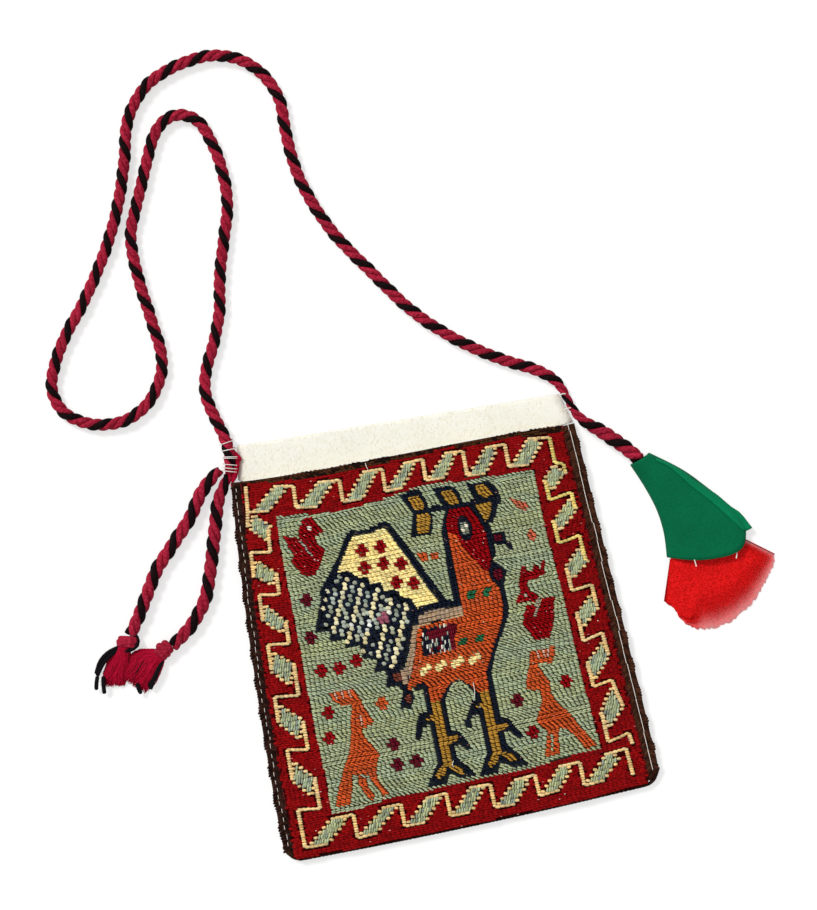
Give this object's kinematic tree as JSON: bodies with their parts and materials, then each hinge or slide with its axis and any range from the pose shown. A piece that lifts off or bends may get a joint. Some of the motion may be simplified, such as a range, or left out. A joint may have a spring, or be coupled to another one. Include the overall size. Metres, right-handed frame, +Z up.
{
  "type": "embroidered pouch",
  "caption": "Flat-woven wool neck pouch with a cockerel picture, cotton lining, overcast sides, a long twisted cord, corner tassels and a cloth pendant.",
  "frame": {"origin": "on the floor under the middle of the pouch's own box, cords left out", "axes": "+X to the pouch's right, +Y from its bottom to its mouth, +Z up out of the woven face"},
  "size_m": [0.3404, 0.4052, 0.012],
  "materials": {
    "red_wool": "woven wool with a picture in sage, orange, yellow and navy, matt",
    "brown_wool": "brown wool, matt",
    "cream_cotton": "plain woven cotton, matt",
    "crimson_yarn": "twisted crimson and black wool yarn",
    "white_thread": "cotton sewing thread",
    "green_cloth": "smooth green cloth",
    "red_tulle": "sheer red tulle, frayed at its edge"
  },
  "bodies": {
    "root": {"front_panel": "red_wool", "back_panel": "brown_wool", "lining": "cream_cotton", "left_binding": "brown_wool", "right_binding": "brown_wool", "strap": "crimson_yarn", "corner_whipping": "white_thread", "tail_cord_a": "crimson_yarn", "tail_cord_b": "crimson_yarn", "knot_a": "crimson_yarn", "knot_b": "crimson_yarn", "tuft_a": "crimson_yarn", "tuft_b": "crimson_yarn", "pendant_cone": "green_cloth", "tulle_1": "red_tulle", "tulle_2": "red_tulle", "tulle_3": "red_tulle"}
  },
  "joints": []
}
